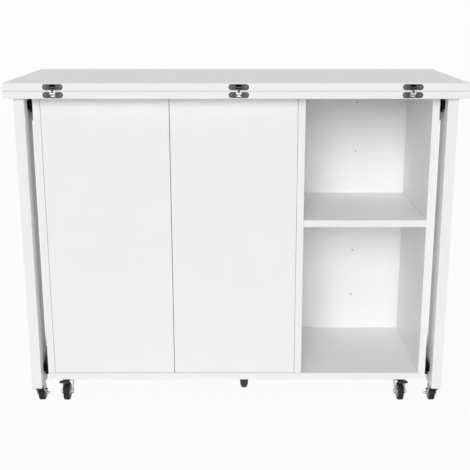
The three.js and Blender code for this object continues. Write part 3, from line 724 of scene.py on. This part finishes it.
def tyre_profile(outer, half, rim, groove):
    """(radius, width) rows round a tyre: shoulders, two tread grooves and a seat on the rim."""
    shoulder = [(outer - down * MM, -half + aside * MM) for down, aside in SHOULDER]
    cuts = [(outer - groove * deep, at * half) for at, deep in
            [(-at, deep) for at, deep in reversed(GROOVE)] + list(GROOVE)]
    low, slope = rim - SEAT_DEPTH, half - SEAT_SLOPE
    seat = [(rim, half), (low, slope), (low, -slope), (rim, -half)]
    profile = shoulder + cuts + [(r, -w) for r, w in reversed(shoulder)] + seat
    return profile + profile[:1]


def hub_profile(half, tread, rim):
    """(radius, width) rows round a hub: a boss, a sunk web, and a lip inside the tyre."""
    bore, web, lip = HUB["bore"], tread - HUB["web_sunk"], tread - HUB["step"]
    face = [(bore, half), (bore + HUB["boss"], half),
            (bore + HUB["boss_round"], half - HUB["step"]),
            (bore + HUB["boss_foot"], web), (bore + HUB["web_from"], web),
            (rim - HUB["web_to"], web), (rim - HUB["lip_foot"], web),
            (rim - HUB["lip_inner"], lip), (rim - HUB["lip_outer"], lip)]
    profile = face + [(r, -w) for r, w in reversed(face)]
    return profile + profile[:1]


def spokes(rim):
    """Relief of a hub: ridges across the sunk web, faded out at boss and lip."""
    def relief(r, a, h):
        ridge = np.clip(np.cos(SPOKES["count"] * a) * SPOKES["gain"] - SPOKES["cut"], 0.0, 1.0)
        band = (smooth_step((r - SPOKES["from"]) / SPOKES["fade_in"])
                * smooth_step((rim - HUB["lip_foot"] - r) / SPOKES["fade_out"]))
        return np.sign(h) * SPOKES["height"] * ridge * band
    return relief


def axle_nuts(centre, radius, place):
    """Chamfered hexagon nuts on both ends of an axle."""
    top, chamfer = NUT["height"], NUT["chamfer"]
    rows = [(0.0, top), (radius * NUT["flat"], top), (radius * NUT["round"], top),
            (radius, chamfer), (radius, 0.0), (0.0, 0.0)]
    return [turned(rows, centre + ACROSS * turn * place, ACROSS * turn, 6) for turn in (-1, 1)]


def brake_bar(centre):
    """A test for the faces of the black bar that lies across a leg caster's fork over its tyre."""
    def on_bar(x, y, z):
        bar_y, bar_z = centre[1] - BRAKE_BAR["ahead"], BRAKE_BAR["level"]
        return ((abs(y - bar_y) < BRAKE_BAR["depth"] / 2 + TOUCH)
                & (abs(z - bar_z) < BRAKE_BAR["height"] / 2 + TOUCH))
    return on_bar


def plate_screws(kind, centre):
    """Screw heads in a caster's plate, round its swivel axis."""
    across, along = kind["screws"]
    axis_y = centre[1] + kind["axis"]
    places = {(turn * across, side * along) for turn in (-1, 1) for side in (-1, 1)}
    return [screw((centre[0] + x, axis_y + y, kind["plate"]), -UPWARD, sizes().caster_screw,
                  PLATE_SCREW_RISE) for x, y in sorted(places)]


def pedal_ribs(pedal):
    """Half-sunk round ribs across a pedal's toe."""
    low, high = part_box(pedal)
    a = np.linspace(0.0, 2.0 * np.pi, PEDAL_RIBS["steps"], endpoint=False)
    section = PEDAL_RIBS["radius"] * np.stack([np.cos(a), np.sin(a)], 1)
    x = (low.x + high.x) / 2 + PEDAL_RIBS["half"] * np.linspace(-1.0, 1.0, PEDAL_RIBS["rows"])
    return [swept(section, np.stack([x, 0 * x + low.y + at, 0 * x + high.z], 1))
            for at in PEDAL_RIBS["at"]]


def make_casters():
    """Forks in zinc with hexagon nuts on the axles, a grooved tyre and a ribbed hub for each wheel,
    screws in the plates, and black pedals, brake bars and foot."""
    for caster in [c + "_caster" for c in CORNERS] + [s + "_leg_caster" for s in SIDES]:
        body = caster.replace("_caster", "")
        fork, wheel = caster + "_fork", caster + "_wheel"
        on_leg = "leg" in caster
        kind = CASTERS["leg" if on_leg else caster.split("_")[0]]
        low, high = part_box(wheel)
        centre = middle_of(wheel)
        eased(fork, "zinc", body + "_swivel", "zinc", sizes().metal_ease,
              *(("plastic", brake_bar(centre)) if on_leg else ()))
        outer, half = (high.z - low.z) / 2, (high.x - low.x) / 2
        tread, rim = half - kind["tread"], outer * RIM
        tyre = turned(tyre_profile(outer, tread, rim, sizes().groove), centre, ACROSS, TYRE_STEPS)
        piece(caster + "_tyre", [tyre], "rubber", body + "_wheel", [wheel])
        hub = turned(hub_profile(half - HUB["set_in"], tread, rim), centre, ACROSS, HUB_STEPS,
                     spokes(rim))
        piece(caster + "_hub", [hub], "hub", body + "_wheel")
        piece(caster + "_axle_nuts", axle_nuts(centre, kind["nut"], kind["nut_place"]), "zinc",
              body + "_swivel", bend=NUT["bend"])
        piece(caster + "_plate_screws", plate_screws(kind, centre), "steel",
              body if on_leg else "cabinet")
    for corner in CORNERS[:2]:
        pedal = corner + "_brake_pedal"
        eased(pedal, "plastic", corner + "_pedal", "black_plastic", sizes().metal_ease)
        piece(pedal + "_ribs", pedal_ribs(pedal), "plastic", corner + "_pedal")
    eased("centre_foot", "plastic", "cabinet", "black_plastic", sizes().metal_ease)


# ---- Screws in the back panel ----
# The screws' places in metres, and how far they stand off the panel's face and dome out.
BACK_SCREWS = {"x": 0.358, "levels": (0.209, 0.354, 0.665, 0.812),
               "out": 0.05 * MM, "rise": 0.3 * MM}


def make_fixings():
    """Cross-recessed screw heads in the back panel's front face, behind the open bay."""
    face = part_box("back_panel")[0].y - BACK_SCREWS["out"]
    heads = [screw((BACK_SCREWS["x"], face, z), -DEEP, sizes().panel_screw, BACK_SCREWS["rise"])
             for z in BACK_SCREWS["levels"]]
    piece("back_panel_screws", heads, "zinc", "cabinet")


# ---- Stage ----
WHITE = (1.0, 1.0, 1.0)
# In degrees: azimuth left (-) or right (+) of the front, elevation, and width of the disc of sky.
LAMPS = {
    "front_lamp": (-8.0, 18.0, 30.0), "side_lamp": (-60.0, 22.0, 90.0),
    "overhead_lamp": (0.0, 84.0, 60.0),
}
# The floor runs level from near to far and bends up on a radius into a wall, in metres.
FLOOR = {"near": -9.0, "far": 4.0, "rows": 4, "bend": 3.0, "bend_from": 0.1, "bend_rows": 12,
         "top": 9.0, "half_width": 9.0}
SENSOR = 36.0


def broad_lamp(name, azimuth, elevation, spread, share):
    """A far soft lamp at a place of LAMPS; a white surface that faces it shows its share."""
    data = bpy.data.lights.new(name, "SUN")
    data.energy, data.angle = share * math.pi, math.radians(spread)
    lamp = bpy.data.objects.new(name, data)
    bpy.context.scene.collection.objects.link(lamp)
    lamp.rotation_euler = (math.radians(90.0 - elevation), 0.0, math.radians(azimuth))


def seen(sheet):
    """1 for camera, glossy and transmitted rays, and 0 for the rays that light things."""
    path = sheet.tree.nodes.new("ShaderNodeLightPath")
    camera, glossy, through = (Wire(sheet, path.outputs[name]) for name in
                               ("Is Camera Ray", "Is Glossy Ray", "Is Transmission Ray"))
    return camera.at_least(glossy).at_least(through)


def make_stage():
    """A pale floor that runs up into a backdrop, even sky, three soft lamps and the camera."""
    stage = bpy.context.scene.island_stage
    rows, bend = FLOOR["rows"], FLOOR["bend"]
    a = np.linspace(FLOOR["bend_from"], np.pi / 2, FLOOR["bend_rows"])
    depth = np.concatenate([np.linspace(FLOOR["near"], FLOOR["far"], rows),
                            FLOOR["far"] + bend * np.sin(a), [FLOOR["far"] + bend]])
    height = np.concatenate([np.zeros(rows), bend * (1.0 - np.cos(a)), [FLOOR["top"]]])
    width = np.array([-FLOOR["half_width"], FLOOR["half_width"]])
    grid = np.stack(np.broadcast_arrays(width[None, :], depth[:, None], height[:, None]), -1)
    points, faces = quads(grid)
    mesh = bpy.data.meshes.new("floor")
    mesh.from_pydata(points.tolist(), [], faces[:, ::-1].tolist())
    mesh.shade_smooth()
    floor = bpy.data.objects.new("floor", mesh)
    bpy.context.scene.collection.objects.link(floor)
    f = Finish("pale floor")
    base = f.node("ShaderNodeBsdfDiffuse", None, {"Color": stage.floor})
    glow = f.node("ShaderNodeEmission", None, {"Color": WHITE, "Strength": 1.0})
    mixed = f.node("ShaderNodeMixShader", None, {0: seen(f) * stage.veil, 1: base, 2: glow})
    mesh.materials.append(f.close(mixed))

    world = bpy.context.scene.world or bpy.data.worlds.new("sky")
    bpy.context.scene.world = world
    sheet = Sheet(world)
    strength = seen(sheet) * (1.0 - stage.sky) + stage.sky
    back = sheet.node("ShaderNodeBackground", None, {"Color": WHITE, "Strength": strength})
    out = sheet.tree.nodes.new("ShaderNodeOutputWorld")
    sheet.tree.links.new(back.socket, out.inputs["Surface"])

    for (name, place), share in zip(LAMPS.items(), (stage.key, stage.fill, stage.top)):
        broad_lamp(name, *place, share)

    data = bpy.data.cameras.new("camera")
    data.lens, data.sensor_width, data.shift_x = stage.lens, SENSOR, stage.shift
    data.clip_end = 100.0
    camera = bpy.data.objects.new("camera", data)
    camera.location = stage.eye
    camera.rotation_euler = (math.pi / 2 - stage.pitch, 0.0, 0.0)
    bpy.context.scene.collection.objects.link(camera)
    bpy.context.scene.camera = camera
    bpy.context.scene.view_settings.view_transform = "Standard"


# ---- Add-on ----
GROUPS = {"island_finish": IslandFinish, "island_sizes": IslandSizes, "island_stage": IslandStage}
STEPS = (
    ("boards", "Boards", "Lacquers the boards and leg frames and eases their edges", make_boards),
    ("leaf_hinges", "Leaf Hinges", "Finishes the leaf hinges and adds screws", make_leaf_hinges),
    ("door_hinges", "Door Hinges", "Finishes door hinge arms and adds screws", make_door_hinges),
    ("slides", "Slides", "Coats the slides and adds screws", make_slides),
    ("casters", "Casters", "Adds tyres, hubs, nuts and screws and finishes the rest", make_casters),
    ("fixings", "Fixings", "Adds the screws in the back panel", make_fixings),
    ("stage", "Stage", "Adds the floor, the sky, the lamps and the camera", make_stage),
)
OPERATORS = [operator(*step) for step in STEPS]


class ISLAND_PT_parts(bpy.types.Panel):
    """Sizes, colours and the steps that make the island."""
    bl_idname = "ISLAND_PT_parts"
    bl_label = "Kitchen Island"
    bl_space_type = "VIEW_3D"
    bl_region_type = "UI"
    bl_category = "Island"

    def draw(self, context):
        for group in (getattr(context.scene, name) for name in GROUPS):
            box = self.layout.box()
            for name in group.__annotations__:
                box.prop(group, name)
        for step in OPERATORS:
            self.layout.operator(step.bl_idname)


CLASSES = [*GROUPS.values(), *OPERATORS, ISLAND_PT_parts]


def register():
    for made in CLASSES:
        bpy.utils.register_class(made)
    for name, group in GROUPS.items():
        setattr(bpy.types.Scene, name, PointerProperty(type=group))


def unregister():
    for name in GROUPS:
        delattr(bpy.types.Scene, name)
    for made in reversed(CLASSES):
        bpy.utils.unregister_class(made)


def main():
    register()
    FINISHES.update(cast_finishes())
    for idname, *_ in STEPS:
        getattr(bpy.ops.island, idname)()


if __name__ == "__main__":
    main()
